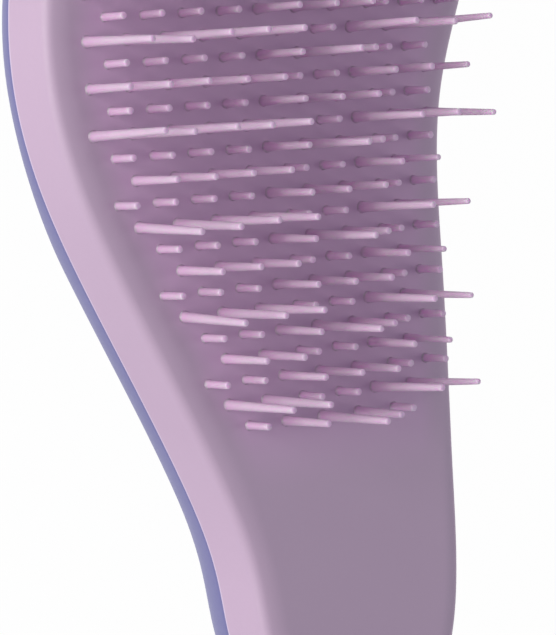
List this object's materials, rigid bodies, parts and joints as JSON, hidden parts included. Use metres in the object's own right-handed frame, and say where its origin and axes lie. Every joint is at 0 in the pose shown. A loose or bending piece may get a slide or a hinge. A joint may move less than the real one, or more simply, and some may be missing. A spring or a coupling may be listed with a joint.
{
  "type": "detangling hair brush",
  "caption": "Palm-held detangling hair brush: a flat moulded front with staggered flexible teeth of mixed lengths, closed by a low crowned back cover in a second colour.",
  "frame": {"origin": "on the flat of the back cover, under the middle column of teeth and the row where it was measured from", "axes": "+X across the brush, +Y from the palm end to the crown, +Z the way the teeth point"},
  "size_m": [0.0675, 0.1282, 0.0325],
  "materials": {
    "lilac_plastic": "satin moulded plastic, lilac",
    "periwinkle_plastic": "satin moulded plastic, periwinkle"
  },
  "bodies": {
    "root": {"front_shell": "lilac_plastic", "long_teeth": "lilac_plastic", "medium_teeth": "lilac_plastic", "short_teeth": "lilac_plastic", "back_cover": "periwinkle_plastic"}
  },
  "joints": []
}
